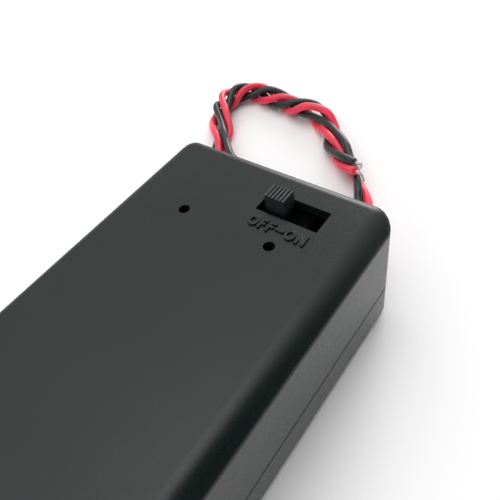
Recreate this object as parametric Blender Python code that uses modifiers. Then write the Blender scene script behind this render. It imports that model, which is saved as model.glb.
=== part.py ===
"""Nine volt battery holder: a black moulded box with a sliding cover, a slide
switch under its top wall, a snap terminal board and a red and a black lead.

The box lies on its cover. +X runs across the box, +Y runs along it towards the
leads, +Z is up, and the origin is the middle of the underside. Units are metres.
"""

import math

import bmesh
import bpy
from mathutils import Matrix, Vector

MM = 0.001

# Clearance between neighbouring pieces
CLEAR = 0.3 * MM

# Driving dimensions of the box
CASE_WIDTH = 34.0 * MM
CASE_LENGTH = 69.0 * MM
CASE_HEIGHT = 20.5 * MM
PARTING_HEIGHT = 6.45 * MM
SIDE_WALL = 1.6 * MM
TOP_WALL = 1.4 * MM
FLOOR_WALL = 1.3 * MM
CORNER_RADIUS = 2.3 * MM
FOOT_RADIUS = 1.5 * MM

# The shell's upper edges roll over in quarter ellipses
SHOULDER_SIDE = 2.75 * MM
SHOULDER_DROP_SIDE = 3.4 * MM
SHOULDER_END = 2.1 * MM
SHOULDER_DROP_END = 2.4 * MM
SHOULDER_THINNING = 0.9 * MM
SHOULDER_STEPS = 7

# Openings in the top wall and the end wall
SLOT_CENTRE_X = 6.03 * MM
SLOT_CENTRE_Y = 27.82 * MM
SLOT_LENGTH = 8.95 * MM
SLOT_WIDTH = 3.65 * MM
CORE_HOLE_X = 6.7 * MM
CORE_HOLE_Y = 21.5 * MM
CORE_HOLE_DIAMETER = 1.5 * MM
EXIT_X = 9.5 * MM
EXIT_Z = 8.4 * MM

# Section of the sliding rails, measured from the box's middle plane
RAIL_INNER_X = 13.75 * MM
RAIL_OUTER_X = 14.7 * MM
RAIL_BOTTOM = 3.9 * MM
RAIL_ROOT_TOP = 8.0 * MM
RAIL_ROOT_LIFT = 0.6 * MM
BEAD_OUTER_X = 15.5 * MM
BEAD_TOP = 4.9 * MM
BEAD_CHAMFER = 0.4 * MM
LIP_INNER_X = 15.0 * MM
LIP_UNDERSIDE = 5.2 * MM
COVER_INNER_X = 15.85 * MM

# Thumb grip on the underside of the cover
GRIP_LOW_Y = -29.5 * MM
GRIP_HIGH_Y = -20.5 * MM
GRIP_HALF_X = 7.0 * MM
GRIP_DEPTH = 0.5 * MM
GRIP_RIDGES = 5
GRIP_PITCH = 1.6 * MM

# Battery bay, terminal board, snaps and solder tabs
BATTERY_WIDTH = 26.5 * MM
BATTERY_RIB_PLACES = (-26.0 * MM, -10.0 * MM, 6.0 * MM)
RIB_THICKNESS = 1.15 * MM
BOARD_RIB_X = 12.4 * MM
BOARD_FRONT_Y = 17.8 * MM
BOARD_THICKNESS = 1.2 * MM
BOARD_LOW_Z = 2.0 * MM
BOARD_HIGH_Z = 17.4 * MM
SNAP_SPACING = 12.7 * MM
SNAP_HEIGHT_Z = 10.3 * MM
RIVET_HOLE_RADIUS = 1.5 * MM
RIVET_FLANGE = 0.35 * MM
SNAP_SHEET = 0.45 * MM
TAB_RING_RADIUS = 2.7 * MM
TAB_TAIL_HALF = 1.15 * MM
TAB_RISE = 6.2 * MM
TAB_THICKNESS = 0.35 * MM

# Slide switch
SWITCH_CENTRE_X = 6.0 * MM
SWITCH_CENTRE_Y = 27.95 * MM
SWITCH_SHEET = 0.4 * MM
SWITCH_PITCH = 4.2 * MM
CAN_LENGTH = 14.0 * MM
CAN_WIDTH = 6.2 * MM
CAN_HEIGHT = 4.4 * MM
CLAW_X = 4.6 * MM
CLAW_HALF = 0.8 * MM
CLAW_FOLD = 1.3 * MM
BASE_THICKNESS = 1.0 * MM
BLADE_LENGTH = 3.0 * MM
BLADE_HALF_X = 0.65 * MM
BLADE_HALF_Y = 0.2 * MM
PAD_HALF_X = 1.2 * MM
PAD_HALF_Y = 1.0 * MM
PAD_THICKNESS = 0.3 * MM
PLATE_HALF_X = 4.0 * MM
PLATE_HALF_Y = 2.3 * MM
PLATE_THICKNESS = 0.9 * MM
CONTACT_HALF_X = 3.0 * MM
CONTACT_HALF_Y = 0.9 * MM
CONTACT_SHEET = 0.2 * MM
KNOB_LEFT_X = 2.35 * MM
KNOB_WIDTH = 2.9 * MM
KNOB_DEPTH = 2.35 * MM
KNOB_CENTRE_Y = 28.25 * MM
KNOB_PROUD = 1.75 * MM
KNOB_RIDGES = 6
KNOB_GROOVE_SHARE = 0.38
KNOB_GROOVE_DEPTH = 0.32 * MM
POCKET_DEPTH = 4.2 * MM
POCKET_RIB = 0.9 * MM

# Leads
LEAD_DIAMETER = 1.4 * MM
LEAD_SPACING = 2.45 * MM
LEAD_PAIR_HALF = 0.8 * MM
TIP_DIAMETER = 0.5 * MM

# Routes of the two leads in millimetres: side by side out of the end wall and down
# to the surface, round in an arch, back round a fold close behind the box, and
# twisted with themselves to their bare ends
BLACK_ROUTE = [
    (8.7, 34.2, 8.4), (8.7, 37.2, 7.9), (8.6, 40.0, 5.4), (7.5, 42.8, 1.5), (5.6, 47.1, 0.8),
    (3.2, 50.7, 1.0), (2.0, 52.8, 2.0), (-0.1, 55.9, 2.3), (-2.8, 58.8, 2.6),
    (-5.4, 61.5, 3.3), (-8.9, 63.9, 3.3), (-12.3, 66.2, 2.7), (-16.5, 67.5, 2.3),
    (-19.7, 68.4, 1.5), (-22.4, 70.1, 0.9), (-25.4, 71.5, 2.2), (-29.1, 70.5, 3.4),
    (-32.0, 68.9, 2.4), (-35.5, 67.4, 0.9), (-37.4, 64.7, 1.2), (-36.7, 61.4, 2.6),
    (-33.0, 58.1, 2.4), (-29.6, 54.8, 2.9), (-27.0, 52.3, 2.3), (-22.9, 49.2, 2.3),
    (-16.6, 47.6, 2.2), (-14.8, 43.6, 0.9), (-17.2, 39.9, 0.9), (-21.7, 39.6, 0.8),
    (-25.2, 41.8, 1.0), (-27.0, 45.8, 0.8), (-28.6, 49.3, 0.8), (-30.4, 53.1, 0.8),
    (-31.5, 55.7, 0.8), (-33.0, 59.0, 0.9), (-34.5, 62.5, 1.9), (-35.9, 66.9, 3.5),
    (-34.7, 70.3, 2.8), (-31.4, 71.2, 1.2), (-27.6, 69.2, 0.8), (-24.7, 68.0, 2.2),
    (-21.1, 69.0, 3.4), (-17.7, 70.8, 2.7), (-14.8, 70.2, 1.4), (-12.5, 67.7, 1.1),
    (-10.9, 64.5, 0.8), (-8.6, 60.5, 1.8), (-4.4, 57.7, 3.6), (-0.8, 56.5, 4.2)]
RED_ROUTE = [
    (10.3, 34.2, 8.4), (10.3, 37.2, 7.9), (10.2, 40.2, 5.2), (9.1, 43.0, 1.5),
    (7.7, 46.7, 0.9), (5.4, 50.4, 0.8), (3.6, 52.8, 0.9), (1.1, 55.1, 0.8), (-2.2, 57.9, 0.9),
    (-5.1, 60.2, 1.7), (-8.4, 61.9, 2.9), (-11.6, 64.2, 2.3), (-14.4, 66.4, 1.0),
    (-18.4, 69.7, 0.9), (-21.0, 70.5, 2.3), (-24.7, 69.3, 3.4), (-28.4, 68.3, 2.2),
    (-31.7, 69.5, 0.8), (-35.3, 69.6, 1.3), (-37.4, 67.6, 2.4), (-37.0, 64.1, 3.5),
    (-33.1, 60.3, 3.0), (-29.9, 56.9, 1.1), (-28.6, 53.1, 0.8), (-24.6, 50.0, 0.8),
    (-19.2, 48.7, 0.8), (-17.0, 46.2, 0.8), (-17.5, 43.0, 0.8), (-20.2, 41.3, 0.8),
    (-23.6, 42.6, 1.0), (-27.2, 49.7, 1.7), (-29.7, 52.8, 2.4), (-32.5, 55.1, 2.1),
    (-35.4, 57.9, 0.9), (-36.4, 61.4, 0.9), (-35.3, 64.8, 1.0), (-33.9, 68.3, 3.4),
    (-31.3, 71.3, 3.0), (-27.5, 71.5, 1.1), (-23.6, 68.9, 0.9), (-20.7, 67.2, 2.4),
    (-17.5, 67.4, 4.4), (-13.4, 68.1, 3.9), (-10.7, 67.0, 1.9), (-9.1, 64.5, 1.1),
    (-7.1, 60.2, 0.9), (-3.3, 56.4, 2.4), (0.4, 54.6, 4.1)]

# Bare strands beyond the ends of the leads, in millimetres
BLACK_TIP = [
    (-0.5, 56.4, 4.25), (-0.1, 56.5, 4.2), (0.35, 56.75, 4.0), (0.55, 56.45, 3.7), (0.4, 56.0, 3.4)]
RED_TIP = [(0.7, 54.5, 4.2), (1.15, 54.5, 4.1), (1.75, 54.45, 3.7), (2.4, 53.9, 3.0)]

# Sizes that follow from the driving dimensions
HALF_WIDTH = CASE_WIDTH / 2
HALF_LENGTH = CASE_LENGTH / 2
SHELL_BOTTOM = PARTING_HEIGHT + CLEAR / 2
COVER_TOP = PARTING_HEIGHT - CLEAR / 2
INNER_HALF_WIDTH = HALF_WIDTH - SIDE_WALL
INNER_HALF_LENGTH = HALF_LENGTH - SIDE_WALL
CEILING = CASE_HEIGHT - TOP_WALL
BOARD_BACK_Y = BOARD_FRONT_Y + BOARD_THICKNESS
SNAP_BASE_Y = BOARD_FRONT_Y - CLEAR
TAB_Y = BOARD_BACK_Y + CLEAR
TAB_BACK_Y = TAB_Y + TAB_THICKNESS
TAB_TOP_Z = SNAP_HEIGHT_Z + TAB_RISE
CAN_TOP = CEILING - CLEAR
CAN_BOTTOM = CAN_TOP - CAN_HEIGHT
BASE_BOTTOM = CAN_BOTTOM - SWITCH_SHEET / 2
BASE_TOP = BASE_BOTTOM + BASE_THICKNESS
PAD_TOP = BASE_TOP + CLEAR + PAD_THICKNESS
BLADE_LOW = BASE_BOTTOM - BLADE_LENGTH
PLATE_TOP = CAN_TOP - SWITCH_SHEET - CLEAR
PLATE_BOTTOM = PLATE_TOP - PLATE_THICKNESS
KNOB_CENTRE_X = KNOB_LEFT_X + KNOB_WIDTH / 2

# Steps of the round forms
CORNER_STEPS = 6
ROUND_STEPS = 24
CURVE_SAMPLES = 12
SMOOTH_ANGLE = math.radians(32)


def remove_everything():
    for item in list(bpy.data.objects):
        bpy.data.objects.remove(item, do_unlink=True)


def make_collection(name):
    group = bpy.data.collections.new(name)
    bpy.context.scene.collection.children.link(group)
    return group


def make_material(name, colour, roughness, metallic=0.0):
    material = bpy.data.materials.new(name)
    material.use_nodes = True
    shader = material.node_tree.nodes["Principled BSDF"]
    shader.inputs["Base Color"].default_value = (*colour, 1.0)
    shader.inputs["Roughness"].default_value = roughness
    shader.inputs["Metallic"].default_value = metallic
    material.diffuse_color = (*colour, 1.0)
    return material


remove_everything()
PARTS = make_collection("nine_volt_battery_holder")
CUTTERS = make_collection("cutters")

BLACK_PLASTIC = make_material("black_plastic", (0.030, 0.033, 0.032), 0.45)
KNOB_PLASTIC = make_material("knob_plastic", (0.035, 0.040, 0.040), 0.40)
PHENOLIC = make_material("phenolic_board", (0.23, 0.11, 0.045), 0.60)
NICKEL = make_material("nickel_plate", (0.62, 0.60, 0.55), 0.25, 1.0)
STEEL = make_material("switch_steel", (0.55, 0.56, 0.57), 0.32, 1.0)
BRASS = make_material("contact_brass", (0.75, 0.55, 0.22), 0.30, 1.0)
SOLDER = make_material("solder", (0.60, 0.61, 0.63), 0.28, 1.0)
TINNED = make_material("tinned_copper", (0.80, 0.74, 0.66), 0.30, 1.0)
RED_INSULATION = make_material("red_insulation", (0.70, 0.03, 0.05), 0.38)
BLACK_INSULATION = make_material("black_insulation", (0.020, 0.023, 0.021), 0.38)


def in_metres(points):
    return [tuple(value * MM for value in point) for point in points]


def add_object(name, mesh, material=None):
    """Put a mesh among the parts, or among the cutters if it has no material."""
    item = bpy.data.objects.new(name, mesh)
    if material is None:
        CUTTERS.objects.link(item)
        item.hide_render = True
        item.display_type = "WIRE"
    else:
        PARTS.objects.link(item)
        mesh.materials.append(material)
    return item


def finish_mesh(name, shape, smooth=False):
    bmesh.ops.recalc_face_normals(shape, faces=shape.faces)
    mesh = bpy.data.meshes.new(name)
    shape.to_mesh(mesh)
    shape.free()
    if smooth:
        mesh.shade_smooth()
        mesh.set_sharp_from_angle(angle=SMOOTH_ANGLE)
    return mesh


def boxes(name, corner_pairs, material=None):
    """One object of plain blocks, each given by its low and high corner."""
    shape = bmesh.new()
    for low, high in corner_pairs:
        block = bmesh.ops.create_cube(shape, size=1.0)["verts"]
        bmesh.ops.scale(shape, vec=Vector(high) - Vector(low), verts=block)
        bmesh.ops.translate(shape, vec=(Vector(low) + Vector(high)) / 2, verts=block)
    return add_object(name, finish_mesh(name, shape), material)


def upright_bars(name, places, radius, low, high):
    """Round bars along Z, each given by its x and y."""
    shape = bmesh.new()
    for x, y in places:
        bar = bmesh.ops.create_cone(
            shape, cap_ends=True, segments=ROUND_STEPS,
            radius1=radius, radius2=radius, depth=high - low)["verts"]
        bmesh.ops.translate(shape, vec=(x, y, (low + high) / 2), verts=bar)
    return add_object(name, finish_mesh(name, shape, smooth=True))


def level_bars(name, places, radius, low, high):
    """Round bars along Y, each given by its x and z."""
    shape = bmesh.new()
    for x, z in places:
        bar = bmesh.ops.create_cone(
            shape, cap_ends=True, segments=ROUND_STEPS,
            radius1=radius, radius2=radius, depth=high - low)["verts"]
        bmesh.ops.rotate(shape, cent=(0, 0, 0), matrix=Matrix.Rotation(math.pi / 2, 3, "X"), verts=bar)
        bmesh.ops.translate(shape, vec=(x, (low + high) / 2, z), verts=bar)
    return add_object(name, finish_mesh(name, shape, smooth=True))


def prism(name, outline, low, high, axis, material=None):
    """Extrude a flat outline along X, Y or Z. The outline gives the other two."""
    placers = {
        "X": lambda u, v: Vector((low, u, v)),
        "Y": lambda u, v: Vector((u, low, v)),
        "Z": lambda u, v: Vector((u, v, low)),
    }
    step = {"X": Vector((1, 0, 0)), "Y": Vector((0, 1, 0)), "Z": Vector((0, 0, 1))}[axis]
    shape = bmesh.new()
    face = shape.faces.new([shape.verts.new(placers[axis](u, v)) for u, v in outline])
    moved = bmesh.ops.extrude_face_region(shape, geom=[face])["geom"]
    bmesh.ops.translate(
        shape, vec=step * (high - low),
        verts=[part for part in moved if isinstance(part, bmesh.types.BMVert)])
    return add_object(name, finish_mesh(name, shape), material)


def turned(name, profile, material):
    """Turn a closed profile of (radius, height) points, and point it towards -Y."""
    mesh = bpy.data.meshes.new(name)
    points = [(radius, 0.0, height) for radius, height in profile]
    edges = [(i, (i + 1) % len(points)) for i in range(len(points))]
    mesh.from_pydata(points, edges, [])
    item = add_object(name, mesh, material)
    screw = item.modifiers.new("turn", "SCREW")
    screw.steps = ROUND_STEPS
    screw.render_steps = ROUND_STEPS
    screw.use_merge_vertices = True
    screw.merge_threshold = 0.00001
    item.rotation_euler = (math.pi / 2, 0, 0)
    return item


def combine(target, tool, operation):
    modifier = target.modifiers.new(tool.name, "BOOLEAN")
    modifier.operation = operation
    modifier.object = tool
    modifier.solver = "EXACT"
    return modifier


def cut(target, tool):
    return combine(target, tool, "DIFFERENCE")


def fuse(target, tool):
    return combine(target, tool, "UNION")


def keep(target, tool):
    return combine(target, tool, "INTERSECT")


def on_travel(name, place, items):
    """Hang sliding pieces on an empty that stands on their line of travel."""
    travel = bpy.data.objects.new(name, None)
    travel.location = place
    travel.empty_display_size = 5 * MM
    PARTS.objects.link(travel)
    for item in items:
        item.parent = travel
        item.matrix_parent_inverse = Matrix.Translation(-Vector(place))


def rounded_ring(half_x, half_y, corner_x, corner_y, z):
    """One level of a rounded rectangle, counter-clockwise."""
    ring = []
    for quarter, (side_x, side_y) in enumerate(((1, 1), (-1, 1), (-1, -1), (1, -1))):
        for step in range(CORNER_STEPS + 1):
            angle = (quarter + step / CORNER_STEPS) * math.pi / 2
            ring.append(Vector((
                side_x * (half_x - corner_x) + corner_x * math.cos(angle),
                side_y * (half_y - corner_y) + corner_y * math.sin(angle),
                z)))
    return ring


def loft(name, rings, material=None):
    """Skin a stack of like rings and close both ends."""
    shape = bmesh.new()
    levels = [[shape.verts.new(point) for point in ring] for ring in rings]
    for lower, upper in zip(levels, levels[1:]):
        for i in range(len(lower)):
            j = (i + 1) % len(lower)
            shape.faces.new((lower[i], lower[j], upper[j], upper[i]))
    shape.faces.new(list(reversed(levels[0])))
    shape.faces.new(levels[-1])
    return add_object(name, finish_mesh(name, shape, smooth=True), material)


def shoulder_inset(z, reach, drop, top):
    """How far a wall has rolled inwards at a height under the top."""
    rise = max(0.0, z - (top - drop)) / drop
    return reach * (1 - math.sqrt(max(0.0, 1 - rise * rise)))


def shoulder_rings(half_x, half_y, corner, bottom, top, reach_x, reach_y, steps):
    """Rings of a box whose upper edges roll over."""
    levels = [bottom]
    for step in range(steps + 1):
        levels.append(top - SHOULDER_DROP_SIDE * (1 - math.sin(step / steps * math.pi / 2)))
    rings = []
    for z in levels:
        inset_x = shoulder_inset(z, reach_x, SHOULDER_DROP_SIDE, top)
        inset_y = shoulder_inset(z, reach_y, SHOULDER_DROP_END, top)
        rings.append(rounded_ring(
            half_x - inset_x, half_y - inset_y,
            max(corner - 0.75 * inset_x, 0.35 * MM),
            max(corner - 0.75 * inset_y, 0.35 * MM), z))
    return rings


def add_end_skirt(shell):
    """The wire end wall runs on down between the cover's sides."""
    outline = [(p.x, p.y) for p in rounded_ring(HALF_WIDTH, HALF_LENGTH, CORNER_RADIUS, CORNER_RADIUS, 0)]
    for name, half_x, top in (("end_skirt", RAIL_OUTER_X, SHELL_BOTTOM + 0.5 * MM),
                              ("low_end_skirt", BEAD_OUTER_X, BEAD_TOP)):
        skirt = prism(name, outline, FLOOR_WALL + CLEAR, top, "Z")
        keep(skirt, boxes(name + "_limits", [
            ((-half_x, INNER_HALF_LENGTH, 0), (half_x, HALF_LENGTH + MM, RAIL_ROOT_TOP + MM))]))
        fuse(shell, skirt)


def add_rails(shell):
    """A skirt inside each long wall, with an outward bead that the cover's lip runs under."""
    root_x = INNER_HALF_WIDTH + 0.4 * MM
    root_top = RAIL_ROOT_TOP + RAIL_ROOT_LIFT
    section = [
        (RAIL_INNER_X, RAIL_BOTTOM), (BEAD_OUTER_X - BEAD_CHAMFER, RAIL_BOTTOM),
        (BEAD_OUTER_X, RAIL_BOTTOM + BEAD_CHAMFER), (BEAD_OUTER_X, BEAD_TOP),
        (RAIL_OUTER_X, BEAD_TOP), (RAIL_OUTER_X, SHELL_BOTTOM + 0.1 * MM),
        (root_x, SHELL_BOTTOM + 0.1 * MM), (root_x, root_top),
        (INNER_HALF_WIDTH - 0.2 * MM, root_top), (RAIL_INNER_X, RAIL_ROOT_TOP)]
    for side, name in ((-1, "left_rail"), (1, "right_rail")):
        fuse(shell, prism(name, [(side * x, z) for x, z in section],
                          -INNER_HALF_LENGTH + 0.5 * MM, INNER_HALF_LENGTH - 0.9 * MM, "Y"))


def add_wall_ribs(shell):
    """Ribs that centre the battery, and the pairs that hold the terminal board."""
    ribs = [(BATTERY_WIDTH / 2 + 0.35 * MM, y) for y in BATTERY_RIB_PLACES]
    ribs.append((BOARD_RIB_X, BOARD_FRONT_Y - CLEAR - RIB_THICKNESS))
    ribs.append((BOARD_RIB_X, BOARD_BACK_Y + CLEAR))
    blocks = []
    for side in (-1, 1):
        for inner_x, y in ribs:
            low_x, high_x = sorted((side * inner_x, side * (INNER_HALF_WIDTH + 0.5 * MM)))
            blocks.append(((low_x, y, RAIL_ROOT_TOP - 0.4 * MM),
                           (high_x, y + RIB_THICKNESS, CEILING - 1.2 * MM)))
    fuse(shell, boxes("wall_ribs", blocks))


def add_switch_pocket(shell):
    """Pocket that the switch is pressed into, hanging from the top wall."""
    left_x = SWITCH_CENTRE_X - CAN_LENGTH / 2 - CLEAR
    right_x = SWITCH_CENTRE_X + CAN_LENGTH / 2 + CLEAR
    near_y = SWITCH_CENTRE_Y - CAN_WIDTH / 2 - CLEAR
    far_y = SWITCH_CENTRE_Y + CAN_WIDTH / 2 + CLEAR
    arm_y = near_y + 2.2 * MM
    low = CEILING - POCKET_DEPTH
    high = CEILING + 0.5 * MM
    fuse(shell, prism("pocket_near_bracket", [
        (left_x - POCKET_RIB, near_y - POCKET_RIB), (right_x + POCKET_RIB, near_y - POCKET_RIB),
        (right_x + POCKET_RIB, arm_y), (right_x, arm_y), (right_x, near_y),
        (left_x, near_y), (left_x, arm_y), (left_x - POCKET_RIB, arm_y)], low, high, "Z"))
    for side, end_x, name in ((-1, left_x, "pocket_left_stop"), (1, right_x, "pocket_right_stop")):
        outer_x = end_x + side * POCKET_RIB
        inner_x = end_x - side * 2.4 * MM
        near_end = far_y - 1.6 * MM
        wall_y = INNER_HALF_LENGTH + 0.5 * MM
        fuse(shell, prism(name, [
            (outer_x, near_end), (end_x, near_end), (end_x, far_y), (inner_x, far_y),
            (inner_x, wall_y), (outer_x, wall_y)], low, high, "Z"))


def cut_shell_openings(shell):
    """Switch slot, the two core holes and the flat hole for the leads."""
    half_x = SLOT_LENGTH / 2
    half_y = SLOT_WIDTH / 2
    cut(shell, boxes("switch_slot", [
        ((SLOT_CENTRE_X - half_x, SLOT_CENTRE_Y - half_y, CEILING - MM),
         (SLOT_CENTRE_X + half_x, SLOT_CENTRE_Y + half_y, CASE_HEIGHT + MM))]))
    cut(shell, upright_bars("core_holes", [(-CORE_HOLE_X, CORE_HOLE_Y), (CORE_HOLE_X, CORE_HOLE_Y)],
                            CORE_HOLE_DIAMETER / 2, CEILING - MM, CASE_HEIGHT + MM))
    radius = LEAD_DIAMETER / 2 + CLEAR
    steps = 8
    outline = []
    for side, start in ((1, -math.pi / 2), (-1, math.pi / 2)):
        for step in range(steps + 1):
            angle = start + math.pi * step / steps
            outline.append((EXIT_X + side * LEAD_PAIR_HALF + radius * math.cos(angle),
                            EXIT_Z + radius * math.sin(angle)))
    cut(shell, prism("lead_exit", outline, INNER_HALF_LENGTH - MM, HALF_LENGTH + MM, "Y"))


def build_case_shell():
    """Upper half of the box: top, four walls, rails, board slots and switch pocket."""
    shell = loft("case_shell", shoulder_rings(
        HALF_WIDTH, HALF_LENGTH, CORNER_RADIUS, SHELL_BOTTOM, CASE_HEIGHT,
        SHOULDER_SIDE, SHOULDER_END, SHOULDER_STEPS), BLACK_PLASTIC)
    cut(shell, loft("shell_cavity", shoulder_rings(
        INNER_HALF_WIDTH, INNER_HALF_LENGTH, CORNER_RADIUS - SIDE_WALL / 2, SHELL_BOTTOM - MM, CEILING,
        SHOULDER_SIDE - SHOULDER_THINNING, SHOULDER_END - SHOULDER_THINNING, SHOULDER_STEPS - 3)))
    add_end_skirt(shell)
    add_rails(shell)
    add_wall_ribs(shell)
    add_switch_pocket(shell)
    cut_shell_openings(shell)
    return shell


def add_thumb_grip(cover):
    """Shallow recess under the near end, with cross ridges."""
    cut(cover, boxes("thumb_recess", [
        ((-GRIP_HALF_X, GRIP_LOW_Y, -MM), (GRIP_HALF_X, GRIP_HIGH_Y, GRIP_DEPTH))]))
    half_x = GRIP_HALF_X - MM
    ridges = []
    for step in range(GRIP_RIDGES):
        y = GRIP_LOW_Y + 1.1 * MM + GRIP_PITCH * step
        ridges.append(((-half_x, y, 0.1 * MM), (half_x, y + 0.7 * MM, GRIP_DEPTH + 0.2 * MM)))
    fuse(cover, boxes("thumb_ridges", ridges))


def build_battery_cover():
    """Sliding cover: floor, long walls with inward lips, near wall, open wire end."""
    foot_steps = 4
    rings = []
    for step in range(foot_steps + 1):
        roll = step / foot_steps * math.pi / 2
        inset = FOOT_RADIUS * (1 - math.sin(roll))
        corner = max(CORNER_RADIUS - inset, 0.6 * MM)
        rings.append(rounded_ring(HALF_WIDTH - inset, HALF_LENGTH - inset, corner, corner,
                                  FOOT_RADIUS * (1 - math.cos(roll))))
    rings.append(rounded_ring(HALF_WIDTH, HALF_LENGTH, CORNER_RADIUS, CORNER_RADIUS, COVER_TOP))
    cover = loft("battery_cover", rings, BLACK_PLASTIC)

    # Channel under the lips, open at the wire end
    cut(cover, prism("cover_channel", [
        (-COVER_INNER_X, FLOOR_WALL), (COVER_INNER_X, FLOOR_WALL),
        (COVER_INNER_X, LIP_UNDERSIDE - CLEAR), (LIP_INNER_X, LIP_UNDERSIDE),
        (LIP_INNER_X, COVER_TOP + MM), (-LIP_INNER_X, COVER_TOP + MM),
        (-LIP_INNER_X, LIP_UNDERSIDE), (-COVER_INNER_X, LIP_UNDERSIDE - CLEAR)],
        -INNER_HALF_LENGTH - 0.1 * MM, HALF_LENGTH + MM, "Y"))

    # Relief wedges where the cover's top edge meets the far corners
    for side, name in ((-1, "left_corner_relief"), (1, "right_corner_relief")):
        low_x, high_x = sorted((side * (HALF_WIDTH - 2.6 * MM), side * (HALF_WIDTH + 0.4 * MM)))
        cut(cover, prism(name, [
            (HALF_LENGTH - 1.5 * MM, COVER_TOP + 0.2 * MM),
            (HALF_LENGTH + 0.3 * MM, COVER_TOP - 0.9 * MM),
            (HALF_LENGTH + 0.3 * MM, COVER_TOP + 0.2 * MM)], low_x, high_x, "X"))
    add_thumb_grip(cover)
    return cover


def build_terminal_board():
    """Phenolic board across the bay, drilled for the two snap rivets."""
    half_x = BATTERY_WIDTH / 2 + 0.05 * MM
    board = boxes("terminal_board", [
        ((-half_x, BOARD_FRONT_Y, BOARD_LOW_Z), (half_x, BOARD_BACK_Y, BOARD_HIGH_Z))], PHENOLIC)
    places = [(-SNAP_SPACING / 2, SNAP_HEIGHT_Z), (SNAP_SPACING / 2, SNAP_HEIGHT_Z)]
    cut(board, level_bars("rivet_holes", places, RIVET_HOLE_RADIUS, BOARD_FRONT_Y - MM, BOARD_BACK_Y + MM))
    return board


def build_snap_stud():
    """Male snap: a hollow crowned button on a flange, open towards the board."""
    stud = turned("snap_stud", in_metres([
        (0.9, 2.95), (2.1, 2.95), (2.6, 2.7), (2.85, 2.2), (2.85, 1.7), (2.6, 1.0),
        (2.6, 0.45), (3.7, 0.4), (3.7, 0.0), (2.2, 0.0), (2.2, 1.1), (2.45, 1.8),
        (2.4, 2.3), (2.0, 2.6), (0.9, 2.6)]), NICKEL)
    stud.location = (-SNAP_SPACING / 2, SNAP_BASE_Y, SNAP_HEIGHT_Z)
    return stud


def build_snap_socket():
    """Female snap: a flared cup with six springy petals."""
    socket = turned("snap_socket", in_metres([
        (3.3, 3.0), (3.6, 3.2), (3.95, 3.0), (3.75, 2.2), (3.75, 1.2), (4.1, 0.45),
        (4.1, 0.0), (2.2, 0.0), (2.2, 0.4), (3.2, 0.45), (3.35, 1.2), (3.3, 2.2)]), NICKEL)
    socket.location = (SNAP_SPACING / 2, SNAP_BASE_Y, SNAP_HEIGHT_Z)
    slit_length = 3.0 * MM
    slit_low = 1.1 * MM
    shape = bmesh.new()
    for step in range(3):
        blade = bmesh.ops.create_cube(shape, size=1.0)["verts"]
        bmesh.ops.scale(shape, vec=(12 * MM, slit_length, 0.6 * MM), verts=blade)
        turn = Matrix.Rotation(step * math.pi / 3, 3, "Y")
        bmesh.ops.rotate(shape, cent=(0, 0, 0), matrix=turn, verts=blade)
    bmesh.ops.translate(shape, verts=shape.verts, vec=(
        SNAP_SPACING / 2, SNAP_BASE_Y - slit_low - slit_length / 2, SNAP_HEIGHT_Z))
    slits = cut(socket, add_object("petal_slits", finish_mesh("petal_slits", shape)))
    slits.use_self = True
    return socket


def build_rivet(name, x):
    """Hollow rivet through the board: a flange inside the snap, one behind the tab."""
    front = SNAP_BASE_Y - SNAP_SHEET - CLEAR
    length = TAB_BACK_Y + CLEAR - front
    bore = 0.8 * MM
    barrel = 1.2 * MM
    rivet = turned(name, [
        (bore, RIVET_FLANGE), (1.9 * MM, RIVET_FLANGE), (1.9 * MM, 0.0), (barrel, 0.0),
        (barrel, -length), (2.0 * MM, -length), (2.0 * MM, -length - RIVET_FLANGE),
        (bore, -length - RIVET_FLANGE)], NICKEL)
    rivet.location = (x, front, SNAP_HEIGHT_Z)
    return rivet


def build_solder_tab(name, x):
    """Ring lug behind the board with a straight tail that takes the wire."""
    start = math.asin(TAB_TAIL_HALF / TAB_RING_RADIUS)
    steps = 22
    outline = [(x + TAB_TAIL_HALF, TAB_TOP_Z)]
    for step in range(steps + 1):
        angle = math.pi / 2 - start - (2 * math.pi - 2 * start) * step / steps
        outline.append((x + TAB_RING_RADIUS * math.cos(angle),
                        SNAP_HEIGHT_Z + TAB_RING_RADIUS * math.sin(angle)))
    outline.append((x - TAB_TAIL_HALF, TAB_TOP_Z))
    tab = prism(name, outline, TAB_Y, TAB_BACK_Y, "Y", BRASS)
    cut(tab, level_bars(name + "_hole", [(x, SNAP_HEIGHT_Z)], RIVET_HOLE_RADIUS, TAB_Y - MM, TAB_BACK_Y + MM))
    return tab


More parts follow.
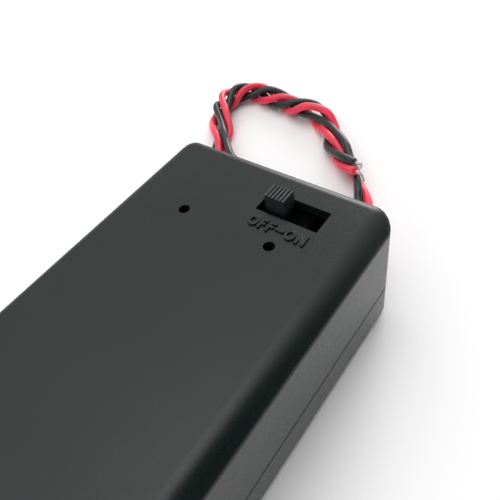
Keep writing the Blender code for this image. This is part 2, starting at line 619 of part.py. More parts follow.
def build_switch_can():
    """Drawn steel cover of the switch, with a window and four claws under the base."""
    half_x = CAN_LENGTH / 2
    half_y = CAN_WIDTH / 2
    ring = rounded_ring(half_x, half_y, 0.8 * MM, 0.8 * MM, 0)
    can = prism("switch_can", [(p.x + SWITCH_CENTRE_X, p.y + SWITCH_CENTRE_Y) for p in ring],
                CAN_BOTTOM, CAN_TOP, "Z", STEEL)
    inner_x = half_x - SWITCH_SHEET
    inner_y = half_y - SWITCH_SHEET
    cut(can, boxes("can_inside", [
        ((SWITCH_CENTRE_X - inner_x, SWITCH_CENTRE_Y - inner_y, CAN_BOTTOM - MM),
         (SWITCH_CENTRE_X + inner_x, SWITCH_CENTRE_Y + inner_y, CAN_TOP - SWITCH_SHEET))]))
    window_x = SLOT_LENGTH / 2 + 0.3 * MM
    window_y = SLOT_WIDTH / 2 + 0.3 * MM
    cut(can, boxes("can_window", [
        ((SLOT_CENTRE_X - window_x, SWITCH_CENTRE_Y - window_y, CAN_TOP - MM),
         (SLOT_CENTRE_X + window_x, SWITCH_CENTRE_Y + window_y, CAN_TOP + MM))]))
    walls = []
    folds = []
    claw_low = BASE_BOTTOM - CLEAR - SWITCH_SHEET
    for x in (SWITCH_CENTRE_X - CLAW_X, SWITCH_CENTRE_X + CLAW_X):
        for side in (-1, 1):
            outer = SWITCH_CENTRE_Y + side * half_y
            wall_low, wall_high = sorted((outer, outer - side * SWITCH_SHEET))
            fold_low, fold_high = sorted((outer, outer - side * CLAW_FOLD))
            walls.append(((x - CLAW_HALF, wall_low, claw_low),
                          (x + CLAW_HALF, wall_high, CAN_BOTTOM + CLEAR)))
            folds.append(((x - CLAW_HALF, fold_low, claw_low),
                          (x + CLAW_HALF, fold_high, claw_low + SWITCH_SHEET)))
    fuse(can, boxes("can_claw_walls", walls))
    fuse(can, boxes("can_claw_folds", folds))
    return can


def build_switch_base():
    """Phenolic plate that closes the can and carries the three terminals."""
    half_x = CAN_LENGTH / 2 - SWITCH_SHEET - CLEAR
    half_y = CAN_WIDTH / 2 - SWITCH_SHEET - CLEAR
    base = boxes("switch_base", [
        ((SWITCH_CENTRE_X - half_x, SWITCH_CENTRE_Y - half_y, BASE_BOTTOM),
         (SWITCH_CENTRE_X + half_x, SWITCH_CENTRE_Y + half_y, BASE_TOP))], PHENOLIC)
    slots = []
    for step in (-1, 0, 1):
        x = SWITCH_CENTRE_X + step * SWITCH_PITCH
        slots.append((
            (x - BLADE_HALF_X - CLEAR, SWITCH_CENTRE_Y - BLADE_HALF_Y - CLEAR, BASE_BOTTOM - MM),
            (x + BLADE_HALF_X + CLEAR, SWITCH_CENTRE_Y + BLADE_HALF_Y + CLEAR, BASE_TOP + MM)))
    cut(base, boxes("terminal_slots", slots))
    return base


def build_switch_terminal(name, step):
    """Flat blade through the base, with the contact pad on its upper end."""
    x = SWITCH_CENTRE_X + step * SWITCH_PITCH
    y = SWITCH_CENTRE_Y
    pad_low = BASE_TOP + CLEAR
    blade = boxes(name, [((x - BLADE_HALF_X, y - BLADE_HALF_Y, BLADE_LOW),
                          (x + BLADE_HALF_X, y + BLADE_HALF_Y, pad_low + PAD_THICKNESS / 3))], BRASS)
    fuse(blade, boxes(name + "_pad", [((x - PAD_HALF_X, y - PAD_HALF_Y, pad_low),
                                       (x + PAD_HALF_X, y + PAD_HALF_Y, PAD_TOP))]))
    return blade


def build_switch_slider():
    """Ridged knob and the plate under it, one moulding that slides along X."""
    top = CASE_HEIGHT + KNOB_PROUD
    stem_low = PLATE_TOP - 0.3 * MM
    pitch = KNOB_WIDTH / (KNOB_RIDGES - KNOB_GROOVE_SHARE)
    groove = KNOB_GROOVE_SHARE * pitch
    outline = [(KNOB_LEFT_X, stem_low)]
    for ridge in range(KNOB_RIDGES):
        start = KNOB_LEFT_X + ridge * pitch
        if ridge > 0:
            outline.append((start - 0.7 * groove, top - KNOB_GROOVE_DEPTH))
            outline.append((start - 0.3 * groove, top - KNOB_GROOVE_DEPTH))
        outline.append((start, top))
        outline.append((start + pitch - groove, top))
    outline.append((KNOB_LEFT_X + KNOB_WIDTH, stem_low))
    slider = prism("switch_slider", outline, KNOB_CENTRE_Y - KNOB_DEPTH / 2,
                   KNOB_CENTRE_Y + KNOB_DEPTH / 2, "Y", KNOB_PLASTIC)
    fuse(slider, boxes("slider_plate", [
        ((KNOB_CENTRE_X - PLATE_HALF_X, SWITCH_CENTRE_Y - PLATE_HALF_Y, PLATE_BOTTOM),
         (KNOB_CENTRE_X + PLATE_HALF_X, SWITCH_CENTRE_Y + PLATE_HALF_Y, PLATE_TOP))]))
    return slider


def build_switch_contact():
    """Bowed bridging spring under the slider, touching two pads at a time."""
    low = PAD_TOP + CLEAR
    rise = PLATE_BOTTOM - PAD_TOP - 2 * CLEAR - CONTACT_SHEET - 0.05 * MM
    steps = 16
    shape = bmesh.new()
    rows = []
    for step in range(steps + 1):
        run = step / steps
        x = KNOB_CENTRE_X + CONTACT_HALF_X * (2 * run - 1)
        z = low + rise * (0.5 + 0.5 * math.cos(4 * math.pi * run))
        rows.append([shape.verts.new((x, SWITCH_CENTRE_Y + y, z)) for y in (-CONTACT_HALF_Y, CONTACT_HALF_Y)])
    for first, second in zip(rows, rows[1:]):
        shape.faces.new((first[0], second[0], second[1], first[1]))
    contact = add_object("switch_contact", finish_mesh("switch_contact", shape), BRASS)
    sheet = contact.modifiers.new("sheet", "SOLIDIFY")
    sheet.thickness = CONTACT_SHEET
    sheet.offset = 1.0
    return contact


def smooth_path(points):
    """Dense points on a smooth curve that passes through every given point."""
    known = [Vector(point) for point in points]
    known = [2 * known[0] - known[1], *known, 2 * known[-1] - known[-2]]
    path = []
    for a, b, c, d in zip(known, known[1:], known[2:], known[3:]):
        for step in range(CURVE_SAMPLES):
            t = step / CURVE_SAMPLES
            path.append(0.5 * (2 * b + (c - a) * t + (2 * a - 5 * b + 4 * c - d) * t * t
                               + (3 * b - 3 * c + d - a) * t ** 3))
    path.append(known[-2])
    return path


def evenly(path, spacing):
    """Points along a path at even distances, with both of its ends."""
    run = [0.0]
    for first, second in zip(path, path[1:]):
        run.append(run[-1] + (second - first).length)
    count = max(2, round(run[-1] / spacing))
    points = [path[0]]
    i = 1
    for step in range(1, count):
        where = run[-1] * step / count
        while run[i] < where:
            i += 1
        points.append(path[i - 1].lerp(path[i], (where - run[i - 1]) / (run[i] - run[i - 1])))
    points.append(path[-1])
    return points


def wire(name, route, diameter, spacing, material):
    """A round wire along a smooth curve through the points of a route."""
    points = evenly(smooth_path(in_metres(route)), spacing)
    curve = bpy.data.curves.new(name, "CURVE")
    curve.dimensions = "3D"
    curve.bevel_depth = diameter / 2
    curve.bevel_resolution = 2
    curve.use_fill_caps = True
    spline = curve.splines.new("POLY")
    spline.points.add(len(points) - 1)
    for knot, point in zip(spline.points, points):
        knot.co = (*point, 1.0)
    item = bpy.data.objects.new(name, curve)
    PARTS.objects.link(item)
    curve.materials.append(material)
    return item


def solder_joint(name, centre, size, slot):
    """Rounded blob of solder with the blade or tail passing through it."""
    shape = bmesh.new()
    bmesh.ops.create_uvsphere(shape, u_segments=14, v_segments=8, radius=1.0)
    bmesh.ops.scale(shape, vec=Vector(size), verts=shape.verts)
    bmesh.ops.translate(shape, vec=Vector(centre), verts=shape.verts)
    blob = add_object(name, finish_mesh(name, shape, smooth=True), SOLDER)
    cut(blob, boxes(name + "_slot", [slot]))
    return blob


def build_solder_joints():
    """Solder on the two switch blades in use and on the two tabs."""
    gap = CLEAR / 2
    y = SWITCH_CENTRE_Y
    for name, step in (("solder_common", 0), ("solder_on", 1)):
        x = SWITCH_CENTRE_X + step * SWITCH_PITCH
        solder_joint(name, (x, y, BLADE_LOW + 0.5 * MM), (1.25 * MM, 0.95 * MM, 1.1 * MM), (
            (x - BLADE_HALF_X - gap, y - BLADE_HALF_Y - gap, BLADE_LOW - gap),
            (x + BLADE_HALF_X + gap, y + BLADE_HALF_Y + gap, BLADE_LOW + BLADE_LENGTH)))
    for name, x in (("solder_positive", SNAP_SPACING / 2), ("solder_negative", -SNAP_SPACING / 2)):
        centre = (x, TAB_BACK_Y + 0.1 * MM, TAB_TOP_Z - 1.6 * MM)
        solder_joint(name, centre, (1.1 * MM, 0.95 * MM, 1.2 * MM), (
            (x - TAB_TAIL_HALF - gap, TAB_Y - MM, TAB_TOP_Z - 4 * MM),
            (x + TAB_TAIL_HALF + gap, TAB_BACK_Y + gap, TAB_TOP_Z + MM)))


def build_wiring():
    """Wires inside the box, from the tabs to the switch and to the end wall."""
    spacing = 1.6 * LEAD_DIAMETER
    snap_x = SNAP_SPACING / 2 / MM
    tab_y = TAB_BACK_Y / MM + 2.2
    tab_z = TAB_TOP_Z / MM - 1.6
    common_x = SWITCH_CENTRE_X / MM
    on_x = (SWITCH_CENTRE_X + SWITCH_PITCH) / MM
    blade_y = SWITCH_CENTRE_Y / MM
    blade_z = BLADE_LOW / MM - 1.2
    black_x = (EXIT_X - LEAD_PAIR_HALF) / MM
    red_x = (EXIT_X + LEAD_PAIR_HALF) / MM
    exit_y = HALF_LENGTH / MM - 0.6
    exit_z = EXIT_Z / MM
    wire("red_jumper", [
        (snap_x, tab_y, tab_z), (snap_x, tab_y + 1.2, tab_z - 0.5), (snap_x - 0.05, tab_y + 2.4, tab_z - 2.4),
        (common_x + 0.1, 25.2, 10.4), (common_x, 27.0, 8.9), (common_x, blade_y, blade_z)],
        LEAD_DIAMETER, spacing, RED_INSULATION)
    wire("black_lead_inside", [
        (-snap_x, tab_y, tab_z), (-snap_x, tab_y + 1.2, tab_z - 0.5),
        (-snap_x + 0.4, tab_y + 2.4, tab_z - 2.6), (-4.0, 25.4, 9.4), (-1.0, 28.4, 7.2),
        (3.0, 29.8, 6.6), (6.2, 30.2, 7.0), (8.2, 31.1, 8.0), (black_x, 32.4, exit_z),
        (black_x, exit_y, exit_z)],
        LEAD_DIAMETER, spacing, BLACK_INSULATION)
    wire("red_lead_inside", [
        (on_x, blade_y, blade_z), (on_x + 0.05, 29.2, 8.6), (red_x, 30.8, exit_z), (red_x, 32.4, exit_z),
        (red_x, exit_y, exit_z)],
        LEAD_DIAMETER, spacing, RED_INSULATION)


def build_leads():
    """The two free leads, and the bare strands at their ends."""
    wire("black_lead", BLACK_ROUTE, LEAD_DIAMETER, LEAD_SPACING, BLACK_INSULATION)
    wire("red_lead", RED_ROUTE, LEAD_DIAMETER, LEAD_SPACING, RED_INSULATION)
    wire("black_lead_tip", BLACK_TIP, TIP_DIAMETER, 0.35 * MM, TINNED)
    wire("red_lead_tip", RED_TIP, TIP_DIAMETER, 0.5 * MM, TINNED)


def build_all():
    build_case_shell()
    cover = build_battery_cover()
    build_terminal_board()
    build_snap_stud()
    build_snap_socket()
    build_rivet("stud_rivet", -SNAP_SPACING / 2)
    build_rivet("socket_rivet", SNAP_SPACING / 2)
    build_solder_tab("stud_solder_tab", -SNAP_SPACING / 2)
    build_solder_tab("socket_solder_tab", SNAP_SPACING / 2)
    build_switch_can()
    build_switch_base()
    for name, step in (("off", -1), ("common", 0), ("on", 1)):
        build_switch_terminal("switch_terminal_" + name, step)
    slider = build_switch_slider()
    contact = build_switch_contact()
    build_solder_joints()
    build_wiring()
    build_leads()
    on_travel("cover_travel", (0, 0, PARTING_HEIGHT / 2), [cover])
    on_travel("switch_travel", (KNOB_CENTRE_X, SWITCH_CENTRE_Y, PLATE_TOP), [slider, contact])


build_all()
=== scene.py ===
"""Looks of the nine volt battery holder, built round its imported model.

Units are metres, and the frame is the model's own: +X across the box, +Y along it
to the end that the leads leave, +Z up, and the origin in the middle of its underside.
"""

import math

import bmesh
import bpy
from mathutils import Matrix, Vector


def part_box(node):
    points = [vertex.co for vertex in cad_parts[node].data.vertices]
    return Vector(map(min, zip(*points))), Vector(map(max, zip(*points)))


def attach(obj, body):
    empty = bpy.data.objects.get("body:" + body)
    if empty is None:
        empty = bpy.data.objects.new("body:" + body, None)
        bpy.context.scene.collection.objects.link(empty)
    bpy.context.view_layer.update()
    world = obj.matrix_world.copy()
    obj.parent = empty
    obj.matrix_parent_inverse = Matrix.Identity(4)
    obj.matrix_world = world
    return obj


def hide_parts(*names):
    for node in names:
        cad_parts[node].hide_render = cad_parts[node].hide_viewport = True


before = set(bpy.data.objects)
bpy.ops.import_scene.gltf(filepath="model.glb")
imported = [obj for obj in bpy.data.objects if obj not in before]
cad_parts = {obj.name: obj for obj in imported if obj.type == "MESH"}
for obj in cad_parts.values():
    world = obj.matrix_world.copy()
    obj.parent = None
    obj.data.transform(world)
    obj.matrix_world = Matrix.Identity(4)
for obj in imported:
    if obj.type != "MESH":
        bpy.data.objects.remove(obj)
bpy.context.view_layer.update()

MM = 0.001

# Camera of the photograph, in the model's frame. These numbers come from a
# least-squares fit to points read off the photograph
CAMERA_PLACE = Vector((34.795, -10.558, 68.006)) * MM
CAMERA_RIGHT = Vector((0.80507, 0.57803, -0.13319))
CAMERA_UP = Vector((-0.36669, 0.66146, 0.65422))
CAMERA_BACK = Vector((0.46627, -0.47786, 0.74448))
CAMERA_LENS = 38.786
CAMERA_SENSOR = 36.0

# Leads: insulation diameter, steps between two points of a route, and roundness
LEAD_DIAMETER = 1.5 * MM
PATH_STEPS = 8
LEAD_RESOLUTION = 6

# The model's own routes of the leads, in millimetres. The points weren't chosen by
# hand: a least-squares program worked them out from places read off the photograph
# or guessed, and they were rounded to 0.1 mm
BLACK_ROUTE = [
    (8.7, 34.2, 8.4), (8.7, 37.2, 7.9), (8.6, 40.0, 5.4), (7.5, 42.8, 1.5), (5.6, 47.1, 0.8),
    (3.2, 50.7, 1.0), (2.0, 52.8, 2.0), (-0.1, 55.9, 2.3), (-2.8, 58.8, 2.6),
    (-5.4, 61.5, 3.3), (-8.9, 63.9, 3.3), (-12.3, 66.2, 2.7), (-16.5, 67.5, 2.3),
    (-19.7, 68.4, 1.5), (-22.4, 70.1, 0.9), (-25.4, 71.5, 2.2), (-29.1, 70.5, 3.4),
    (-32.0, 68.9, 2.4), (-35.5, 67.4, 0.9), (-37.4, 64.7, 1.2), (-36.7, 61.4, 2.6),
    (-33.0, 58.1, 2.4), (-29.6, 54.8, 2.9), (-27.0, 52.3, 2.3), (-22.9, 49.2, 2.3),
    (-16.6, 47.6, 2.2), (-14.8, 43.6, 0.9), (-17.2, 39.9, 0.9), (-21.7, 39.6, 0.8),
    (-25.2, 41.8, 1.0), (-27.0, 45.8, 0.8), (-28.6, 49.3, 0.8), (-30.4, 53.1, 0.8),
    (-31.5, 55.7, 0.8), (-33.0, 59.0, 0.9), (-34.5, 62.5, 1.9), (-35.9, 66.9, 3.5),
    (-34.7, 70.3, 2.8), (-31.4, 71.2, 1.2), (-27.6, 69.2, 0.8), (-24.7, 68.0, 2.2),
    (-21.1, 69.0, 3.4), (-17.7, 70.8, 2.7), (-14.8, 70.2, 1.4), (-12.5, 67.7, 1.1),
    (-10.9, 64.5, 0.8), (-8.6, 60.5, 1.8), (-4.4, 57.7, 3.6), (-0.8, 56.5, 4.2)]
RED_ROUTE = [
    (10.3, 34.2, 8.4), (10.3, 37.2, 7.9), (10.2, 40.2, 5.2), (9.1, 43.0, 1.5),
    (7.7, 46.7, 0.9), (5.4, 50.4, 0.8), (3.6, 52.8, 0.9), (1.1, 55.1, 0.8), (-2.2, 57.9, 0.9),
    (-5.1, 60.2, 1.7), (-8.4, 61.9, 2.9), (-11.6, 64.2, 2.3), (-14.4, 66.4, 1.0),
    (-18.4, 69.7, 0.9), (-21.0, 70.5, 2.3), (-24.7, 69.3, 3.4), (-28.4, 68.3, 2.2),
    (-31.7, 69.5, 0.8), (-35.3, 69.6, 1.3), (-37.4, 67.6, 2.4), (-37.0, 64.1, 3.5),
    (-33.1, 60.3, 3.0), (-29.9, 56.9, 1.1), (-28.6, 53.1, 0.8), (-24.6, 50.0, 0.8),
    (-19.2, 48.7, 0.8), (-17.0, 46.2, 0.8), (-17.5, 43.0, 0.8), (-20.2, 41.3, 0.8),
    (-23.6, 42.6, 1.0), (-27.2, 49.7, 1.7), (-29.7, 52.8, 2.4), (-32.5, 55.1, 2.1),
    (-35.4, 57.9, 0.9), (-36.4, 61.4, 0.9), (-35.3, 64.8, 1.0), (-33.9, 68.3, 3.4),
    (-31.3, 71.3, 3.0), (-27.5, 71.5, 1.1), (-23.6, 68.9, 0.9), (-20.7, 67.2, 2.4),
    (-17.5, 67.4, 4.4), (-13.4, 68.1, 3.9), (-10.7, 67.0, 1.9), (-9.1, 64.5, 1.1),
    (-7.1, 60.2, 0.9), (-3.3, 56.4, 2.4), (0.4, 54.6, 4.1)]

# Bare tinned ends: routes in millimetres, and the make-up of the stranded core
BLACK_TIP = [
    (-0.5, 56.4, 4.25), (-0.1, 56.5, 4.2), (0.35, 56.75, 4.0), (0.55, 56.45, 3.7), (0.4, 56.0, 3.4)]
RED_TIP = [(0.7, 54.5, 4.2), (1.15, 54.5, 4.1), (1.75, 54.45, 3.7), (2.4, 53.9, 3.0)]
STRAND_DIAMETER = 0.19 * MM
STRAND_TWIST = 3.2 * MM
STRANDS_ROUND = 6
STRAND_PACKING = 0.96
STRAND_RESOLUTION = 2

# Top of the box, taken from the model, and the depth in the slot from which the knob is painted with
# shade
TOP_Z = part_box("case_shell")[1].z
SLOT_PAINTED_SHADE_DEPTH = 2.4 * MM


def add_camera():
    data = bpy.data.cameras.new("photo_camera")
    data.lens = CAMERA_LENS
    data.sensor_width = CAMERA_SENSOR
    data.sensor_height = CAMERA_SENSOR
    data.sensor_fit = "HORIZONTAL"
    data.clip_start = 0.001
    data.clip_end = 10.0
    camera = bpy.data.objects.new("photo_camera", data)
    bpy.context.scene.collection.objects.link(camera)
    turn = Matrix((CAMERA_RIGHT, CAMERA_UP, CAMERA_BACK)).transposed().to_4x4()
    camera.matrix_world = Matrix.Translation(CAMERA_PLACE) @ turn
    bpy.context.scene.camera = camera


class Nodes:
    """Short way of adding shader nodes to a new material."""

    def __init__(self, name):
        self.material = bpy.data.materials.new(name)
        self.material.use_nodes = True
        self.tree = self.material.node_tree
        self.shader = self.tree.nodes["Principled BSDF"]
        self.position = self.add("ShaderNodeTexCoord").outputs["Object"]

    def add(self, kind, **settings):
        node = self.tree.nodes.new(kind)
        for key, value in settings.items():
            setattr(node, key, value)
        return node

    def link(self, source, target):
        self.tree.links.new(source, target)

    def noise(self, scale, detail=3.0, roughness=0.5, vector=None):
        node = self.add("ShaderNodeTexNoise")
        node.inputs["Scale"].default_value = scale
        node.inputs["Detail"].default_value = detail
        node.inputs["Roughness"].default_value = roughness
        self.link(vector or self.position, node.inputs["Vector"])
        return node.outputs["Fac"]

    def stretched(self, scale):
        node = self.add("ShaderNodeMapping")
        node.inputs["Scale"].default_value = scale
        self.link(self.position, node.inputs["Vector"])
        return node.outputs["Vector"]

    def ramp(self, source, stops):
        node = self.add("ShaderNodeValToRGB")
        elements = node.color_ramp.elements
        while len(elements) < len(stops):
            elements.new(0.5)
        for element, (place, colour) in zip(elements, stops):
            element.position = place
            element.color = (*colour, 1.0)
        self.link(source, node.inputs["Fac"])
        return node.outputs["Color"]

    def grey(self, source, low, high, from_low=0.3, from_high=0.7):
        node = self.add("ShaderNodeMapRange")
        node.inputs["From Min"].default_value = from_low
        node.inputs["From Max"].default_value = from_high
        node.inputs["To Min"].default_value = low
        node.inputs["To Max"].default_value = high
        self.link(source, node.inputs["Value"])
        return node.outputs["Result"]

    def bump(self, source, distance, strength):
        node = self.add("ShaderNodeBump")
        node.inputs["Distance"].default_value = distance
        node.inputs["Strength"].default_value = strength
        self.link(source, node.inputs["Height"])
        self.link(node.outputs["Normal"], self.shader.inputs["Normal"])


def blend_colours(dark, light):
    """The two ends of a soft colour variation."""
    return [(0.35, dark), (0.65, light)]


def case_plastic(name, colour, roughness, ior):
    """Satin moulded plastic: a fine sparked texture with faint clouding."""
    made = Nodes(name)
    cloud = made.noise(90.0, 2.0)
    light = tuple(1.12 * c for c in colour)
    dark = tuple(0.9 * c for c in colour)
    made.link(made.ramp(cloud, blend_colours(dark, light)), made.shader.inputs["Base Color"])
    grain = made.noise(3200.0, 4.0, 0.6)
    made.link(made.grey(grain, roughness - 0.04, roughness + 0.05), made.shader.inputs["Roughness"])
    made.bump(grain, 0.000012, 0.5)
    made.shader.inputs["IOR"].default_value = ior
    return made.material


def knob_plastic(name, colour, roughness, painted_shade_z):
    """Satin plastic of the knob, with painted shade from the given height down, where it stands in
    the slot: darker colour and weaker reflection there.
    """
    made = Nodes(name)
    parts = made.add("ShaderNodeSeparateXYZ")
    made.link(made.position, parts.inputs["Vector"])
    height = parts.outputs["Z"]
    # Painted shade: below the given height the knob's colour goes dark and its reflection weak,
    # standing in for the shade deep in the slot
    clear = made.grey(height, 0.0, 1.0, painted_shade_z, TOP_Z)
    dark = tuple(0.2 * c for c in colour)
    made.link(made.ramp(clear, [(0.3, dark), (0.9, colour)]), made.shader.inputs["Base Color"])
    shaded_specular_level = made.grey(height, 0.03, 0.5, painted_shade_z, TOP_Z)
    made.link(shaded_specular_level, made.shader.inputs["Specular IOR Level"])
    grain = made.noise(2600.0, 3.0, 0.6)
    made.link(made.grey(grain, roughness - 0.04, roughness + 0.05), made.shader.inputs["Roughness"])
    made.bump(grain, 0.000012, 0.5)
    return made.material


def insulation(name, colour, roughness):
    """Extruded insulation: smooth, with faint marks along and across the wire."""
    made = Nodes(name)
    cloud = made.noise(260.0, 3.0)
    light = tuple(min(1.0, 1.10 * c + 0.003) for c in colour)
    dark = tuple(0.88 * c for c in colour)
    made.link(made.ramp(cloud, blend_colours(dark, light)), made.shader.inputs["Base Color"])
    grain = made.noise(1500.0, 3.0)
    made.link(made.grey(grain, roughness - 0.04, roughness + 0.06), made.shader.inputs["Roughness"])
    made.bump(grain, 0.00002, 0.35)
    made.shader.inputs["IOR"].default_value = 1.5
    return made.material


def bright_metal(name, colour, roughness, grain_scale=(1.0, 1.0, 1.0)):
    """Plated or drawn metal with fine marks and faint staining."""
    made = Nodes(name)
    cloud = made.noise(400.0, 3.0)
    dark = tuple(0.78 * c for c in colour)
    made.link(made.ramp(cloud, blend_colours(dark, colour)), made.shader.inputs["Base Color"])
    grain = made.noise(2600.0, 3.0, 0.5, made.stretched(grain_scale))
    made.link(made.grey(grain, roughness - 0.07, roughness + 0.10), made.shader.inputs["Roughness"])
    made.bump(grain, 0.000008, 0.4)
    made.shader.inputs["Metallic"].default_value = 1.0
    return made.material


def laminated_board(name, dark, light):
    """Phenolic board with a fibrous mottle."""
    made = Nodes(name)
    fibre = made.noise(900.0, 4.0, 0.6, made.stretched((1.0, 1.0, 0.25)))
    made.link(made.ramp(fibre, [(0.3, dark), (0.7, light)]), made.shader.inputs["Base Color"])
    made.link(made.grey(fibre, 0.5, 0.68), made.shader.inputs["Roughness"])
    made.bump(fibre, 0.00002, 0.4)
    return made.material


CASE = case_plastic("case_plastic", (0.0056, 0.0104, 0.0092), 0.25, 1.42)
# Cover: a lighter, more reflective copy of the case plastic. This is painted light, standing in for
# the extra light that the cover's tilted sides catch
COVER_LIT_COPY = case_plastic("cover_plastic_lit_copy", (0.0070, 0.0110, 0.0090), 0.27, 1.47)
# The knob's plastic, with painted shade where it stands in the slot
KNOB = knob_plastic("knob_plastic", (0.019, 0.025, 0.025), 0.36, TOP_Z - SLOT_PAINTED_SHADE_DEPTH)
BOARD = laminated_board("phenolic_board", (0.15, 0.065, 0.025), (0.29, 0.145, 0.06))
NICKEL = bright_metal("nickel_plate", (0.66, 0.63, 0.57), 0.24)
STEEL = bright_metal("switch_steel", (0.030, 0.029, 0.029), 0.50, (1.0, 6.0, 1.0))
BRASS = bright_metal("contact_brass", (0.78, 0.58, 0.27), 0.30)
SOLDER = bright_metal("solder_metal", (0.64, 0.65, 0.67), 0.30)
TINNED = bright_metal("tinned_copper", (0.86, 0.83, 0.78), 0.28)
RED = insulation("red_insulation", (0.86, 0.036, 0.085), 0.32)
BLACK = insulation("black_insulation", (0.012, 0.016, 0.014), 0.28)

NODE_MATERIALS = {
    "case_shell": CASE,
    "battery_cover": COVER_LIT_COPY,
    "switch_slider": KNOB,
    "terminal_board": BOARD,
    "switch_base": BOARD,
    "snap_stud": NICKEL,
    "snap_socket": NICKEL,
    "stud_rivet": NICKEL,
    "socket_rivet": NICKEL,
    "switch_can": STEEL,
    "stud_solder_tab": BRASS,
    "socket_solder_tab": BRASS,
    "switch_contact": BRASS,
    "switch_terminal_off": BRASS,
    "switch_terminal_common": BRASS,
    "switch_terminal_on": BRASS,
    "solder_positive": SOLDER,
    "solder_negative": SOLDER,
    "solder_common": SOLDER,
    "solder_on": SOLDER,
    "red_jumper": RED,
    "red_lead_inside": RED,
    "black_lead_inside": BLACK,
}

# Faces that meet within this angle are shaded as one, and corners nearer to each
# other than SAME_PLACE count as one
SMOOTH_ANGLE = math.radians(32)
SAME_PLACE = 2e-3 * MM

# Moulded shoulder of the case: it curves away from the flat top and meets the walls
# at a definite edge. EDGE and FOOT are the slopes of its shading normals there and in
# the lowest share of its height, FOOT_SHARE. A face belongs to it if its normal's z is
# between LEAST_Z and MOST_Z
SHOULDER_SIDE = 2.75 * MM
SHOULDER_DROP_SIDE = 3.4 * MM
SHOULDER_END = 2.1 * MM
SHOULDER_DROP_END = 2.4 * MM
SHOULDER_EDGE = math.radians(43)
SHOULDER_FOOT = math.radians(8)
SHOULDER_CROWN = 1.4
SHOULDER_FOOT_SHARE = 0.03
SHOULDER_LEAST_Z = 0.05
SHOULDER_MOST_Z = 0.996


def place_key(point):
    return tuple(round(value / SAME_PLACE) for value in point)


def shoulder_normal(point, normal):
    """Shading normal on the shoulder, from the height on it and the way that it faces."""
    level = Vector((normal.x, normal.y, 0)).normalized()
    share = level.y * level.y
    drop = SHOULDER_DROP_SIDE + share * (SHOULDER_DROP_END - SHOULDER_DROP_SIDE)
    reach = SHOULDER_SIDE + share * (SHOULDER_END - SHOULDER_SIDE)
    rise = min(1.0, max(0.0, 1 - (TOP_Z - point.z) / drop))
    around = math.asin(rise)
    slope = math.atan2(reach * math.sin(around), drop * math.cos(around))
    turned = (slope / (math.pi / 2)) ** SHOULDER_CROWN
    slope = SHOULDER_EDGE + turned * (math.pi / 2 - SHOULDER_EDGE)
    if rise < SHOULDER_FOOT_SHARE:
        slope = SHOULDER_FOOT
    return math.cos(slope) * level + Vector((0, 0, math.sin(slope)))


def on_shoulder(face):
    steep = SHOULDER_LEAST_Z < face.normal.z < SHOULDER_MOST_Z
    return steep and face.center.z > TOP_Z - SHOULDER_DROP_SIDE


def round_off(mesh, shoulder=False):
    """Smooth shading between faces that meet within the angle, larger faces counting more."""
    faces_at = {}
    for face in mesh.polygons:
        for index in face.vertices:
            faces_at.setdefault(place_key(mesh.vertices[index].co), []).append(face)
    least = math.cos(SMOOTH_ANGLE)
    normals = []
    for face in mesh.polygons:
        curved = shoulder and on_shoulder(face)
        for index in face.vertices:
            point = mesh.vertices[index].co
            if curved:
                normals.append(shoulder_normal(point, face.normal))
                continue
            total = Vector((0, 0, 0))
            for other in faces_at[place_key(point)]:
                beside = shoulder and on_shoulder(other)
                if not beside and face.normal.dot(other.normal) > least:
                    total += other.area * other.normal
            normals.append(total.normalized() if total.length > 0 else face.normal.copy())
    mesh.shade_smooth()
    mesh.normals_split_custom_set(normals)


def dress_nodes():
    for name, material in NODE_MATERIALS.items():
        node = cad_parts[name]
        node.data.materials.clear()
        node.data.materials.append(material)
        round_off(node.data, shoulder=name == "case_shell")


def smooth_path(route):
    """Dense points on a smooth curve that passes through every point of a route."""
    known = [Vector(point) * MM for point in route]
    known = [2 * known[0] - known[1], *known, 2 * known[-1] - known[-2]]
    path = []
    for a, b, c, d in zip(known, known[1:], known[2:], known[3:]):
        for step in range(PATH_STEPS):
            t = step / PATH_STEPS
            path.append(0.5 * (2 * b + (c - a) * t + (2 * a - 5 * b + 4 * c - d) * t * t
                               + (3 * b - 3 * c + d - a) * t ** 3))
    path.append(known[-2])
    return path


def wire_curve(name, paths, diameter, material, resolution):
    """Round wires along dense paths, as one curve object."""
    curve = bpy.data.curves.new(name, "CURVE")
    curve.dimensions = "3D"
    curve.bevel_depth = diameter / 2
    curve.bevel_resolution = resolution
    curve.use_fill_caps = True
    for path in paths:
        spline = curve.splines.new("POLY")
        spline.points.add(len(path) - 1)
        for knot, point in zip(spline.points, path):
            knot.co = (*point, 1.0)
        spline.use_smooth = True
    curve.materials.append(material)
    item = bpy.data.objects.new(name, curve)
    bpy.context.scene.collection.objects.link(item)
    return item


def strand_paths(path):
    """A straight centre strand and the strands that wind round it."""
    paths = [path]
    for strand in range(STRANDS_ROUND):
        wound = []
        run = 0.0
        for i, point in enumerate(path):
            before = path[max(i - 1, 0)]
            after = path[min(i + 1, len(path) - 1)]
            along = (after - before).normalized()
            side = along.cross(Vector((0, 0, 1))).normalized()
            rise = side.cross(along)
            if i > 0:
                run += (point - path[i - 1]).length
            angle = math.tau * (strand / STRANDS_ROUND + run / STRAND_TWIST)
            outward = math.cos(angle) * side + math.sin(angle) * rise
            wound.append(point + STRAND_DIAMETER * STRAND_PACKING * outward)
        paths.append(wound)
    return paths


def add_lead(colour, route, tip_route, material):
    """One free lead with its bare stranded end."""
    tip = wire_curve(colour + "_stranded_end", strand_paths(smooth_path(tip_route)),
                     STRAND_DIAMETER, TINNED, STRAND_RESOLUTION)
    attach(tip, "case")
    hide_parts(colour + "_lead_tip")
    path = smooth_path(route)
    lead = wire_curve(colour + "_free_lead", [path], LEAD_DIAMETER, material, LEAD_RESOLUTION)
    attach(lead, "case")
    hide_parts(colour + "_lead")


